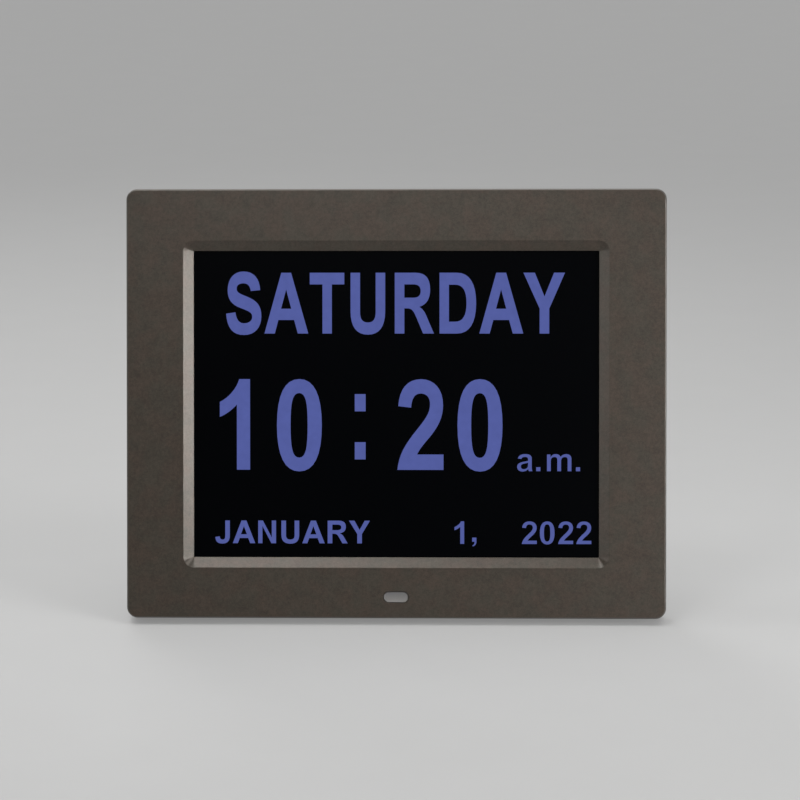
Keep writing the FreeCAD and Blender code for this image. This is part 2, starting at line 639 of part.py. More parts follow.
def make_screen():
    """The foam ring, the glass, the lit panel and the steel tray with its posts."""
    window = ("0", "window_mid")

    def foam(sketch):
        add_box(sketch, window, "glass_width", "glass_height")
        wide, tall = "glass_width - 2 * gasket_width", "glass_height - 2 * gasket_width"
        add_box(sketch, window, wide, tall)

    solid("screen_gasket", "face_thickness", "gasket_thick", foam)
    solid(
        "screen_glass", "glass_front", "glass_thick",
        lambda sketch: add_box(sketch, window, "glass_width", "glass_height"),
    )
    solid(
        "screen_panel", "module_front", "module_thick",
        lambda sketch: add_box(sketch, window, "module_width", "module_height"),
    )
    tray = solid(
        "screen_tray", "tray_front", "tray_thick",
        lambda sketch: add_box(sketch, window, "tray_width", "module_height"),
    )
    posts = draw_on(tray, "XZ", "tray_back")
    bores = draw_on(tray, "XZ", "tray_back")
    for spot in board_screw_places():
        add_circle(posts, spot, "post_radius")
        add_circle(bores, spot, "screw_radius")
    pad(posts, "standoff")
    cut(bores, "standoff")
    holes = draw_on(tray, "XZ", "tray_front")
    for spot in tray_screw_places():
        add_circle(holes, spot, "screw_radius")
    cut(holes, "tray_thick")
    screws(
        "tray_screws", tray_screw_places(), "tray_back", "screw_bite + tray_thick",
        "screw_radius", "head_radius", "head_thick",
    )


# Electronics

def make_main_board():
    """The main board, its chips, its screws, and the flat cable to the panel."""
    middle = ("0", "board_low + board_height / 2")
    board = solid(
        "main_board", "board_front", "board_thick",
        lambda sketch: add_rounded(sketch, middle, "board_width", "board_height", "board_corner"),
    )
    holes = draw_on(board, "XZ", "board_front")
    for spot in board_screw_places():
        add_circle(holes, spot, "screw_radius")
    cut(holes, "board_thick")
    screws(
        "board_screws", board_screw_places(), "board_back", "board_thick + standoff",
        "screw_radius", "head_radius", "head_thick",
    )

    def chips(sketch):
        for column in ("-chip_column", "0", "chip_column"):
            add_box(sketch, (column, "board_low + chip_rise"), "chip_size", "chip_size")

    solid("board_chips", "board_back", "chip_thick", chips)

    plug_top = "board_top - plug_margin"
    solid(
        "cable_connector", "board_front - plug_depth", "plug_depth",
        lambda sketch: add_box(
            sketch, ("0", plug_top + " - plug_height / 2"), "cable_width + 2 * plug_margin",
            "plug_height",
        ),
    )
    make_cable(plug_top)


def make_cable(plug_top):
    """The flat cable: up from the panel's edge, over, and down to its connector."""
    body = new_body("display_cable")
    band = draw_on(body, "YZ", "0")
    start = "(tray_front - cable_inset)"
    turn = "(module_top + cable_rise)"
    half = "cable_thick / 2"
    middle = (value(f"{start} + cable_bend"), value(turn))
    # From the outside in: an arc over the top, and a straight side down from each of its ends.
    loops = []
    for radius in (f"(cable_bend + {half})", f"(cable_bend - {half})"):
        bend = band.addGeometry(arc(middle, value(radius), 0, 180))
        dimension(band, "DistanceY", (-1, 1, bend, 3), turn)
        sides = []
        for end, sign, foot in ((1, "+", plug_top), (2, "-", "module_top")):
            depth = f"{start} + cable_bend {sign} {radius}"
            top, low = (Vector(value(depth), value(level), 0) for level in (turn, foot))
            side = band.addGeometry(Part.LineSegment(top, low))
            hold_point(band, side, 1, (depth, turn))
            hold_point(band, side, 2, (depth, foot))
            band.addConstraint(Sketcher.Constraint("Coincident", bend, end, side, 1))
            sides.append((side, low))
        loops.append(sides)
    for (outer, one), (inner, other) in zip(*loops):
        close = band.addGeometry(Part.LineSegment(one, other))
        band.addConstraint(Sketcher.Constraint("Coincident", close, 1, outer, 2))
        band.addConstraint(Sketcher.Constraint("Coincident", close, 2, inner, 2))
    pad(band, "cable_width")


def make_coin_cell():
    """The holder on the board and the coin cell that keeps the clock's time."""
    middle = ("-holder_column", "holder_level")
    holder = solid(
        "coin_cell_holder", "board_back", "holder_floor + cell_thick",
        lambda sketch: add_circle(sketch, middle, "holder_radius"),
    )
    well = draw_on(holder, "XZ", "board_back + holder_floor")
    add_circle(well, middle, "cell_radius + cell_gap")
    cut(well, "cell_thick")
    solid(
        "coin_cell", "board_back + holder_floor", "cell_thick",
        lambda sketch: add_circle(sketch, middle, "cell_radius"),
    )


def make_jack():
    """The power socket: a body on the board, a round nose in the wall, a bore and its pin."""
    body = new_body("power_socket")
    block = draw_on(body, "XZ", "board_back")
    middle = ("-jack_face + jack_length / 2", "jack_level")
    add_box(block, middle, "jack_length", "jack_height")
    pad(block, "jack_depth")
    centre = ("jack_depth_mid", "jack_level")
    nose_end = "(block_width / 2 - jack_gap)"
    nose = draw_on(body, "YZ", f"-({nose_end} + jack_face) / 2")
    add_circle(nose, centre, "jack_nose")
    pad(nose, f"{nose_end} - jack_face")
    bore = draw_on(body, "YZ", f"-({nose_end} - jack_bore_depth / 2)")
    add_circle(bore, centre, "jack_bore")
    cut(bore, "jack_bore_depth")
    pin_length = "(jack_bore_depth - jack_pin_sink)"
    pin = draw_on(body, "YZ", f"-({nose_end} - jack_bore_depth + {pin_length} / 2)")
    add_circle(pin, centre, "jack_pin")
    pad(pin, pin_length)


def make_speaker():
    """The round speaker: rim, basket and magnet in one turned shape, with a dished cone."""
    body = new_body("speaker")
    middle = ("-bay_column", "speaker_level")
    basket_front = "inner_back - speaker_flange - speaker_basket"
    for at, length, radius in (
        (f"{basket_front} - magnet_thick", "magnet_thick", "magnet_radius"),
        (basket_front, "speaker_basket", "speaker_neck"),
        ("inner_back - speaker_flange", "speaker_flange", "speaker_radius"),
    ):
        disc = draw_on(body, "XZ", at)
        add_circle(disc, middle, radius)
        pad(disc, length)
    dish = draw_on(body, "XZ", "inner_back - cone_sink")
    add_circle(dish, middle, "cone_middle")
    mouth = draw_on(body, "XZ", "inner_back")
    add_circle(mouth, middle, "speaker_radius - cone_inset")
    cone = body.newObject("PartDesign::SubtractiveLoft", "speaker_cone")
    cone.Profile = dish
    cone.Sections = [mouth]


# Buttons

def button_place(number):
    """The middle of a button, counted from the lowest."""
    return ("bay_column", f"button_top - {len(BUTTONS) - 1 - number} * button_pitch")


def make_buttons():
    """The switches on the board, and for each a plunger and a button in the housing."""
    middles = [button_place(number) for number in range(len(BUTTONS))]

    def bodies(sketch):
        for middle in middles:
            add_box(sketch, middle, "switch_size", "switch_size")

    switches = solid("switches", "board_back", "switch_tall", bodies)
    well = "plunger_in + button_travel + plunger_gap"
    wells = draw_on(switches, "XZ", f"switch_back - ({well})")
    for middle in middles:
        add_circle(wells, middle, "plunger_radius + plunger_gap")
    cut(wells, well)
    for name, middle in zip(BUTTONS, middles):
        make_plunger(name, middle)
        make_button(name, middle)


def make_plunger(name, middle):
    """The plunger of one switch."""
    solid(
        name + "_plunger", "plunger_front", "plunger_back - plunger_front",
        lambda sketch: add_circle(sketch, middle, "plunger_radius"),
    )


def make_button(name, middle):
    """One button: a stem, a lip that keeps it in the housing, and a rounded key."""
    body = new_body(name + "_button")
    stem = draw_on(body, "XZ", "plunger_back")
    add_circle(stem, middle, "stem_radius")
    pad(stem, "lip_front - plunger_back")
    lip = draw_on(body, "XZ", "lip_front")
    wide, tall = "button_width + 2 * button_lip", "button_height + 2 * button_lip"
    add_rounded(lip, middle, wide, tall, "button_corner")
    pad(lip, "button_lip_thick")
    key = draw_on(body, "XZ", "lip_front + button_lip_thick")
    add_rounded(key, middle, "button_width", "button_height", "button_corner")
    pad(key, "back_depth + button_proud - lip_front - button_lip_thick")
    top = value("back_depth + button_proud")
    dress(body, "Fillet", "button_round", lambda edge: lies_at(edge, top))


# Back

def make_rear_cover():
    """The cover: a flat flange, the hollow housing, and the recess of the leg."""
    body = new_body("rear_cover")
    outline = draw_on(body, "XZ", "rim_depth")
    wide, tall = "case_width - 2 * cover_inset", "case_height - 2 * cover_inset"
    add_rounded(outline, ("0", "case_height / 2"), wide, tall, "corner_radius - cover_inset")
    pad(outline, "cover_flange")
    flat = value("flange_back")
    dress(body, "Chamfer", "cover_chamfer", lambda edge: lies_at(edge, flat))

    housing = draw_on(body, "XZ", "flange_back")
    middle = ("0", "block_mid")
    add_rounded(housing, middle, "block_width", "block_height", "block_corner")
    pad(housing, "back_depth - flange_back")
    back = value("back_depth")
    dress(body, "Fillet", "block_round", lambda edge: lies_at(edge, back))
    hollow = draw_on(body, "XZ", "rim_depth")
    wide, tall = "block_width - 2 * cover_wall", "block_height - 2 * cover_wall"
    add_rounded(hollow, middle, wide, tall, "block_corner - cover_wall")
    cut(hollow, "inner_back - rim_depth")

    make_recess(body)
    make_openings(body)


def make_recess(body):
    """The recess of the leg, open at the lower end, and the bore for its hinge pin."""
    tray = draw_on(body, "XZ", "recess_floor - cover_wall")
    middle = ("0", "(block_low + recess_top + cover_wall) / 2")
    across, up = "2 * (recess_half + cover_wall)", "recess_top + cover_wall - block_low"
    add_box(tray, middle, across, up)
    pad(tray, "inner_back - recess_floor + cover_wall")
    blocks = draw_on(body, "XZ", "recess_floor")
    for side in ("-", ""):
        place = f"{side}(recess_half + cover_wall + pin_overhang / 2)"
        add_box(blocks, (place, "hinge_height"), "pin_overhang", "pin_block")
    pad(blocks, "inner_back - recess_floor")
    recess = draw_on(body, "XZ", "recess_floor")
    overrun = "cover_wall"
    middle = ("0", f"(block_low - {overrun} + recess_top) / 2")
    add_box(recess, middle, "2 * recess_half", f"recess_top - block_low + {overrun}")
    cut(recess, "recess_depth")
    bore = draw_on(body, "YZ", "0")
    add_circle(bore, ("hinge_depth", "hinge_height"), "pin_radius")
    cut(bore, "2 * (recess_half + cover_wall + pin_overhang)")


def make_openings(body):
    """The ring of the speaker and every hole in the cover."""
    speaker = ("-bay_column", "speaker_level")
    ring = draw_on(body, "XZ", "inner_back - speaker_ring_tall")
    add_circle(ring, speaker, "speaker_radius + speaker_gap")
    add_circle(ring, speaker, "ring_radius")
    pad(ring, "speaker_ring_tall")

    grille = draw_on(body, "XZ", "inner_back")
    for ring_number, count in enumerate(GRILLE_RINGS):
        for step in range(count):
            reach, turn = f"{ring_number} * grille_pitch", f"{360 / count * step}"
            x = f"{speaker[0]} + {reach} * cos({turn})"
            z = f"{speaker[1]} + {reach} * sin({turn})"
            add_circle(grille, (x, z), "grille_hole")
    cut(grille, "cover_wall")

    vents = draw_on(body, "XZ", "inner_back")
    for number in range(VENTS):
        x = f"{number - (VENTS - 1) / 2} * vent_pitch"
        add_pill(vents, (x, "vent_bottom"), (x, "vent_bottom + vent_length"), "vent_radius")
    cut(vents, "cover_wall")

    keys = draw_on(body, "XZ", "inner_back")
    for number in range(len(BUTTONS)):
        wide, tall = "button_width + 2 * button_gap", "button_height + 2 * button_gap"
        add_rounded(keys, button_place(number), wide, tall, "button_corner + button_gap")
    cut(keys, "cover_wall")

    for side in ("-", ""):
        middle = (f"{side}keyhole_spread", "keyhole_level")
        hook = draw_on(body, "XZ", "inner_back")
        add_circle(hook, middle, "keyhole_radius")
        cut(hook, "cover_wall")
        slot = draw_on(body, "XZ", "inner_back")
        end = (middle[0], "keyhole_level + keyhole_length - keyhole_slot")
        add_pill(slot, middle, end, "keyhole_slot")
        cut(slot, "cover_wall")

    wells = draw_on(body, "XZ", "flange_back - head_thick")
    holes = draw_on(body, "XZ", "rim_depth")
    for middle in case_screw_places():
        add_circle(wells, middle, "head_radius + head_play")
        add_circle(holes, middle, "screw_radius + screw_play")
    cut(wells, "head_thick")
    cut(holes, "cover_flange")

    inlet = draw_on(body, "YZ", "-(block_width - cover_wall) / 2")
    add_circle(inlet, ("jack_depth_mid", "jack_level"), "jack_nose + jack_gap")
    cut(inlet, "cover_wall")


def make_case_screws():
    """The screws that hold the cover to the frame."""
    seat = "flange_back - head_thick"
    body = screws(
        "case_screws", case_screw_places(), seat, "screw_bite + cover_flange - head_thick",
        "screw_radius", "head_radius", "head_thick",
    )
    add_crosses(body, case_screw_places(), "flange_back")


def make_feet():
    """The two small feet: wedges under the frame, level when the clock leans back."""
    body = new_body("front_feet")
    for side in ("-", ""):
        wedge = draw_on(body, "YZ", f"{side}foot_spread")
        corners = [("foot_front", "0"), ("foot_back", "0")]
        for depth in ("foot_back", "foot_front"):
            corners.append((depth, f"-foot_clear - (rim_depth - {depth}) * tan(lean)"))
        add_polygon(wedge, corners)
        pad(wedge, "foot_length")


def make_pin():
    """The steel pin of the hinge."""
    body = new_body("hinge_pin")
    circle = draw_on(body, "YZ", "0")
    add_circle(circle, ("hinge_depth", "hinge_height"), "pin_radius")
    pad(circle, "2 * pin_half")


# Leg. It is drawn hanging straight down from its hinge, which is at its own origin.

def leg_corner(depth, above):
    """A corner of the leg's end, at a depth and at a height above the surface."""
    return (depth, f"({above} - hinge_z - ({depth}) * sin(leg_slope)) / cos(leg_slope)")


def make_leg():
    """The leg: a plate, its knuckle, the heel that stops it when it is open, a sunk panel."""
    body = new_body("stand_leg")
    front, back = "-leg_thick / 2", "leg_thick / 2"
    plate = draw_on(body, "YZ", "0")
    end = [leg_corner(front, "pad_thick"), leg_corner(back, "pad_thick")]
    add_polygon(plate, end + [(back, "0"), (front, "0")])
    pad(plate, "leg_width")
    barrel = draw_on(body, "YZ", "0")
    add_circle(barrel, ("0", "0"), "barrel_radius")
    pad(barrel, "leg_width")

    # The heel's front is flat on the floor of the recess, a gap away, when the leg is open.
    stop = "(recess_depth - hinge_inset - stop_gap)"
    heel = draw_on(body, "YZ", "0")
    tip = f"(heel_length * sin(leg_angle) - {stop}) / cos(leg_angle)"
    toe = (f"-{stop} * cos(leg_angle)", f"{stop} * sin(leg_angle)")
    add_polygon(heel, [(front, "0"), (back, "0"), (back, "heel_length"), (tip, "heel_length"), toe])
    pad(heel, "leg_width")

    bore = draw_on(body, "YZ", "0")
    add_circle(bore, ("0", "0"), "pin_radius + pin_play")
    cut(bore, "leg_width")
    sunk = draw_on(body, "XZ", "leg_thick / 2 - panel_sink")
    long = "(hinge_z / cos(leg_slope) - 2 * panel_ends)"
    across = "leg_width - 2 * panel_inset"
    add_rounded(sunk, ("0", f"-panel_ends - {long} / 2"), across, long, "panel_corner")
    cut(sunk, "panel_sink")


def make_leg_pad():
    """The rubber end of the leg, level with the surface when the leg is open."""
    body = new_body("leg_pad")
    shoe = draw_on(body, "YZ", "0")
    low = [leg_corner("-pad_half", "0"), leg_corner("pad_half", "0")]
    high = [leg_corner("pad_half", "pad_thick"), leg_corner("-pad_half", "pad_thick")]
    add_polygon(shoe, low + high)
    pad(shoe, "leg_width - 2 * pad_inset")


# Placement: the case leans back, and the leg hangs from its hinge at its own slope.

def settle(body, place, angle):
    """Ties a sub-part's placement to the sizes."""
    body.Placement = Placement(Vector(), Rotation(Vector(1, 0, 0), value(angle)))
    for axis, text in zip("yz", place):
        body.setExpression("Placement.Base." + axis, bind(text))
    body.setExpression("Placement.Rotation.Angle", bind(angle))


def settle_all():
    """Leans the case back and opens the leg."""
    for body in nodes:
        if body.Label in ("stand_leg", "leg_pad"):
            settle(body, ("shift + hinge_y", "hinge_z"), "leg_slope")
        else:
            settle(body, ("shift", "floor_drop"), "-lean")


def check():
    """Stops before anything is written if a feature failed or a shape is not sound."""
    for item in doc.Objects:
        if "Invalid" in item.State or "Error" in item.State:
            raise RuntimeError(f"{item.Label} failed: {item.State}")
    for body in nodes:
        if body.Shape.isNull() or not body.Shape.isValid() or not body.Shape.Solids:
            raise RuntimeError(f"{body.Label} has no sound solid")


def write():
    """Writes each sub-part under its own name."""
    os.makedirs("parts", exist_ok=True)
    for body in nodes:
        body.Shape.exportStep(f"parts/{body.Label}.step")
        print(f"{body.Label}: {len(body.Shape.Solids)} solids, {body.Shape.Volume:.1f} mm3")


fill_sheets()
make_front_frame()
make_sensor()
make_screen()
make_main_board()
make_coin_cell()
make_jack()
make_speaker()
make_buttons()
make_rear_cover()
make_case_screws()
make_feet()
make_pin()
make_leg()
make_leg_pad()
settle_all()
doc.recompute()
check()
write()
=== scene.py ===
"""The looks of a calendar day clock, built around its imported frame.

Sizes are in millimetres, as on the drawing of the clock, and mm() turns them into Blender's metres.
A place on the clock is given as the upright clock has it: x to the right, depth from the face
towards the back, z up from the lower edge of the frame. place() leans it back as the clock stands.
"""
import json
import math
import re

import bpy
from mathutils import Matrix, Vector


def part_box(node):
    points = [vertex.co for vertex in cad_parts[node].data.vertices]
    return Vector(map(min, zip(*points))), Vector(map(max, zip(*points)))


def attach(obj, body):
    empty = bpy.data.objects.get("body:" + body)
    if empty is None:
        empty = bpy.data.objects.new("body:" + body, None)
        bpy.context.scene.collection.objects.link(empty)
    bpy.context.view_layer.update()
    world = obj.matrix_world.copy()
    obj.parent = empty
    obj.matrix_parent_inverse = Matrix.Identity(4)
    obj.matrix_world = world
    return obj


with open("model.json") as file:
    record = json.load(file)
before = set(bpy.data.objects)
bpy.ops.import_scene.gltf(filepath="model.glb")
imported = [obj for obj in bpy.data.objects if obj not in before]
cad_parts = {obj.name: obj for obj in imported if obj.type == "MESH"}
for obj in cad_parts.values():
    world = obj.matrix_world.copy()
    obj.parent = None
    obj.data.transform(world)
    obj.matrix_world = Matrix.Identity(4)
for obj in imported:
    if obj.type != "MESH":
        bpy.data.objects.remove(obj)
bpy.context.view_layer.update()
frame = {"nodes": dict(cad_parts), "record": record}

# How the clock stands, and the sizes of its face
LEAN = 12.0
RIM_DEPTH = 13.0
FOOT_CLEAR = 0.3
FACE_HEIGHT = 171.8
EDGE_CHAMFER = 0.5
GLASS_DEPTH = 3.3
SENSOR_MIDDLE = 8.5
SENSOR_HEIGHT = 4.1

# Keys at the back, from the lowest up
KEYS = ["power", "right", "left", "down", "up", "menu"]
KEY_COLUMN = 57.25
KEY_LOW = 58.0
KEY_PITCH = 13.0
KEY_TOP_DEPTH = 27.3

# What is drawn on the screen and on the keys
LETTER_THICK = 0.05
LETTER_TRIM = 0.17
SIGN_THICK = 0.04
CAPITAL_UNIT = 100
CURVE_STEPS = 8
CLOSED_GAP = 0.001

# The lines on the screen: how high they stand, how tall their capitals are and how far stretched
DAY_LINE = {"base": 113.85, "tall": 24.7, "stretch": 1.0}
TIME_LINE = {"base": 59.2, "tall": 36.6, "stretch": 1.0}
HALF_LINE = {"base": 58.75, "tall": 9.7, "stretch": 1.375}
DATE_LINE = {"base": 29.65, "tall": 9.46, "stretch": 1.375}
DATE_DIGITS = {"base": 29.55, "tall": 9.36, "stretch": 1.32}

# The frame's paint: two hues in clouds, specks in three sizes, and along the edge a brighter colour,
# partly a bright cut and partly a painted highlight
FRAME_WARM = (0.0646, 0.0487, 0.0368)
FRAME_COOL = (0.0592, 0.0498, 0.0378)
FRAME_DARK = 0.70
FRAME_LIGHT = 1.30
FRAME_METAL = 0.3
FRAME_ROUGHNESS = (0.29, 0.33)
FLAKE_SIZE = 0.45
FLAKE_SHARE = 0.42
FLAKE_RELIEF = 0.005
GRAIN_SIZE = 1.3
GRAIN_SHARE = 0.35
PATCH_SIZE = 5.0
PATCH_SHARE = 0.23
CLOUD_SIZE = 7.0
RICH_DETAIL = 3.0
SPECK_RANGE = (0.35, 0.65)
CLOUD_RANGE = (0.4, 0.6)
# The edge's chamfer colour: partly a bright cut, partly a painted highlight
EDGE_CUT_AND_HIGHLIGHT_COLOUR = (0.130, 0.120, 0.108)
EDGE_FACING = math.cos(math.radians(45))
EDGE_RANGE = 0.08
EDGE_METAL = 0.4
SOFT_EDGE = 0.35

# The screen's black surface
SCREEN_DARK = (0.0004, 0.0006, 0.0010)
SCREEN_LIGHT = (0.0008, 0.0011, 0.0018)
SCREEN_GRAIN = 0.08
SCREEN_ROUGHNESS = (0.22, 0.30)

# What is lit on it
LETTER_GLOW = (0.083, 0.106, 0.333)
LETTER_BASE = (0.002, 0.002, 0.004)
GLOW_SPREAD = 0.1
GLOW_PATCH = 3.0
PIXEL_PITCH = 0.2025
PIXEL_SHARE = 0.06

# The sensor's window, with painted light at its lower edge and painted shade at its upper edge
SENSOR_PAINTED_LIGHT = (0.262, 0.254, 0.242)
SENSOR_PAINTED_SHADE = (0.142, 0.137, 0.142)
SENSOR_GRAIN = 1.0
SENSOR_ROUGHNESS = (0.28, 0.36)

# The circuit boards: noise is folded into stripes, and the upper half of each is a track
BOARD_MASK = (0.006, 0.07, 0.022)
BOARD_TRACK = (0.014, 0.12, 0.036)
TRACK_SIZE = 3.0
TRACK_FOLD = 0.05
TRACK_RELIEF = 0.03

# The plain finishes: colour, spread of its tone, size of the grain, roughness, depth of the grain
PATCH_TO_GRAIN = 40
PLAIN_PATCH_SHARE = 0.4
PLAIN_GRAIN_SHARE = 0.6
PLAIN = {
    "cover_plastic": ((0.019, 0.019, 0.020), 0.14, 0.55, (0.50, 0.66), 0.05),
    "button_plastic": ((0.045, 0.045, 0.047), 0.06, 0.30, (0.36, 0.44), 0.01),
    "black_rubber": ((0.014, 0.014, 0.014), 0.20, 0.40, (0.70, 0.85), 0.03),
    "grey_rubber": ((0.16, 0.155, 0.15), 0.08, 0.40, (0.60, 0.75), 0.03),
    "black_foam": ((0.010, 0.010, 0.010), 0.40, 0.50, (0.85, 0.98), 0.15),
    "black_plastic": ((0.013, 0.013, 0.013), 0.10, 0.40, (0.42, 0.52), 0.02),
    "white_plastic": ((0.66, 0.65, 0.62), 0.03, 0.50, (0.38, 0.48), 0.01),
    "cable_film": ((0.42, 0.20, 0.05), 0.10, 1.00, (0.25, 0.35), 0.0),
    "steel": ((0.56, 0.56, 0.58), 0.12, 1.20, (0.24, 0.40), 0.01),
    "black_screw": ((0.055, 0.055, 0.057), 0.20, 0.30, (0.30, 0.42), 0.01),
    "cell_steel": ((0.62, 0.61, 0.59), 0.08, 0.80, (0.20, 0.30), 0.0),
    "speaker_cone": ((0.016, 0.016, 0.017), 0.25, 0.60, (0.60, 0.80), 0.05),
}
METALS = {"steel": 1.0, "black_screw": 0.9, "cell_steel": 1.0}

# The room. Its sizes and places are in metres, and each lamp points at the middle of the face.
FLOOR_COLOUR = (0.33, 0.33, 0.327)
FLOOR_SPREAD = 0.02
FLOOR_PATCH = 30
FLOOR_GLOW = 0.21
FLOOR_SIZE = 12.0
WORLD_LIGHT = 0.06
HAZE_GLOW = 0.30
HAZE_ANGLES = (2.0, 12.0)
LAMPS = [
    # name, place, width and height, watts
    ("key_lamp", (0.73, -0.46, 0.20), 0.25, 0.71),
    ("front_lamp", (-0.13, -1.60, 0.86), 0.32, 0.37),
    ("low_lamp", (0.40, -1.50, 0.32), 0.40, 0.19),
    ("top_lamp", (-0.20, -0.35, 1.00), 0.30, 0.40),
    ("side_top_lamp", (0.50, -0.42, 0.74), 0.25, 0.30),
    ("left_lamp", (-0.96, -0.53, 0.33), 0.50, 0.28),
    ("edge_lamp", (1.05, -0.10, 0.31), 0.50, 0.15),
    ("corner_lamp", (-0.85, 0.12, 0.92), 0.30, 0.40),
    ("back_lamp", (-0.45, 1.10, 0.80), 0.60, 1.2),
]
LAMP_SPREAD = 80.0
SKY_POWER = 1.4
SKY_ANGLE = 60.0
SKY_TILT = -10.0

# The camera, which looks at the middle of the face. Its distance is in metres.
CAMERA_DISTANCE = 1.4
CAMERA_AZIMUTH = 1.8466
CAMERA_ELEVATION = 13.3219
CAMERA_ROLL = -0.3812
PIXELS_PER_MM = 2.5007
FACE_MIDDLE_PIXEL = (395.95, 403.90)
IMAGE_SIZE = 800
CAMERA_SENSOR = 36.0


def mm(*sizes):
    """Millimetres to metres: one number, or a vector of three."""
    return sizes[0] / 1000 if len(sizes) == 1 else Vector(sizes) / 1000


lean_sin, lean_cos = math.sin(math.radians(LEAN)), math.cos(math.radians(LEAN))
lift = RIM_DEPTH * lean_sin + FOOT_CLEAR * lean_cos
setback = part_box("front_frame")[0].y * 1000 - EDGE_CHAMFER * lean_sin


def place(x, depth, z):
    """A point of the upright clock, in millimetres, as the clock stands, in metres."""
    return mm(x, setback + depth * lean_cos + z * lean_sin, lift - depth * lean_sin + z * lean_cos)


# Materials. Every one is a small tree of procedural nodes around one Principled shader.

class Tree:
    """A tree of nodes, and shortcuts to add and join them."""

    def __init__(self, owner):
        owner.use_nodes = True
        self.nodes = owner.node_tree.nodes
        self.links = owner.node_tree.links

    def feed(self, socket, value):
        """Sets an input to a plain value, or joins it to the output of another node."""
        if isinstance(value, bpy.types.NodeSocket):
            self.links.new(value, socket)
        elif socket.type == "RGBA":
            socket.default_value = (*value, 1)
        else:
            socket.default_value = value

    def set(self, node, sockets):
        """Feeds a node's inputs, by their names."""
        for name, value in sockets.items():
            self.feed(node.inputs[name.replace("_", " ")], value)

    def add(self, kind, output, **sockets):
        """Adds a node and returns one of its outputs."""
        node = self.nodes.new("ShaderNode" + kind)
        self.set(node, sockets)
        return node.outputs[output]

    def math(self, kind, first, second=0.0, third=0.0):
        """One step of arithmetic."""
        node = self.nodes.new("ShaderNodeMath")
        node.operation = kind
        for socket, value in zip(node.inputs, (first, second, third)):
            self.feed(socket, value)
        return node.outputs[0]

    def span(self, value, low, high):
        """Turns a value from 0 to 1 into one from low to high."""
        return self.math("MULTIPLY_ADD", value, high - low, low)

    def seen(self):
        """1 where the camera sees the surface, also in a reflection or through glass, and else 0."""
        rays = self.nodes.new("ShaderNodeLightPath").outputs
        mirrored = self.math("MAXIMUM", rays["Is Glossy Ray"], rays["Is Transmission Ray"])
        return self.math("MAXIMUM", rays["Is Camera Ray"], mirrored)

    def ramp(self, value, low, high):
        """Turns a value from low to high into one from 0 to 1, and cuts off what lies beyond."""
        node = self.nodes.new("ShaderNodeMapRange")
        self.set(node, {"Value": value, "From Min": low, "From Max": high})
        return node.outputs["Result"]

    def split(self, value):
        """The three parts of a vector."""
        node = self.nodes.new("ShaderNodeSeparateXYZ")
        self.feed(node.inputs[0], value)
        return node.outputs

    def blend(self, share, first, second):
        """A colour between two colours."""
        node = self.nodes.new("ShaderNodeMix")
        node.data_type = "RGBA"
        for number, value in ((0, share), (6, first), (7, second)):
            self.feed(node.inputs[number], value)
        return node.outputs[2]

    def tones(self, share, colour, spread):
        """A colour from a little darker than the one given to a little lighter."""
        return self.blend(share, shade(colour, 1 - spread), shade(colour, 1 + spread))


class Finish(Tree):
    """A material being made: a tree of nodes around one Principled shader."""

    def __init__(self, name, **sockets):
        self.material = bpy.data.materials.new(name)
        super().__init__(self.material)
        self.shader = self.nodes["Principled BSDF"]
        self.coordinates = self.nodes.new("ShaderNodeTexCoord").outputs["Object"]
        self.set(self.shader, sockets)

    def noise(self, size, detail=2.0):
        """Noise from 0 to 1 whose features are about a size across, in millimetres."""
        scaled = self.add("Mapping", "Vector", Vector=self.coordinates, Scale=[1 / mm(size)] * 3)
        return self.add("TexNoise", "Fac", Vector=scaled, Scale=1.0, Detail=detail)

    def facing(self):
        """How much the surface faces the same way as the clock's face, from 1 down."""
        node = self.nodes.new("ShaderNodeVectorMath")
        node.operation = "DOT_PRODUCT"
        normal = self.nodes.new("ShaderNodeNewGeometry").outputs["True Normal"]
        self.feed(node.inputs[0], normal)
        self.feed(node.inputs[1], (0, -lean_cos, lean_sin))
        return node.outputs["Value"]

    def bump(self, height, depth, **sockets):
        """Gives the surface a relief. Its depth is in millimetres."""
        normal = self.add("Bump", "Normal", Height=height, Distance=mm(depth), **sockets)
        self.set(self.shader, {"Normal": normal})


def shade(colour, factor):
    """A colour made lighter or darker."""
    return [part * factor for part in colour]


def grained(name, colour, spread, size, roughness, relief, **sockets):
    """Plastic, rubber, foam or metal with a fine grain in its colour, gloss and relief."""
    made = Finish(name, **sockets)
    fine = made.noise(size)
    patches = made.noise(size * PATCH_TO_GRAIN)
    part = made.math("MULTIPLY", fine, PLAIN_GRAIN_SHARE)
    both = made.math("MULTIPLY_ADD", patches, PLAIN_PATCH_SHARE, part)
    made.set(made.shader, {
        "Base Color": made.tones(both, colour, spread),
        "Roughness": made.span(fine, *roughness),
    })
    if relief:
        made.bump(fine, relief)
    return made.material


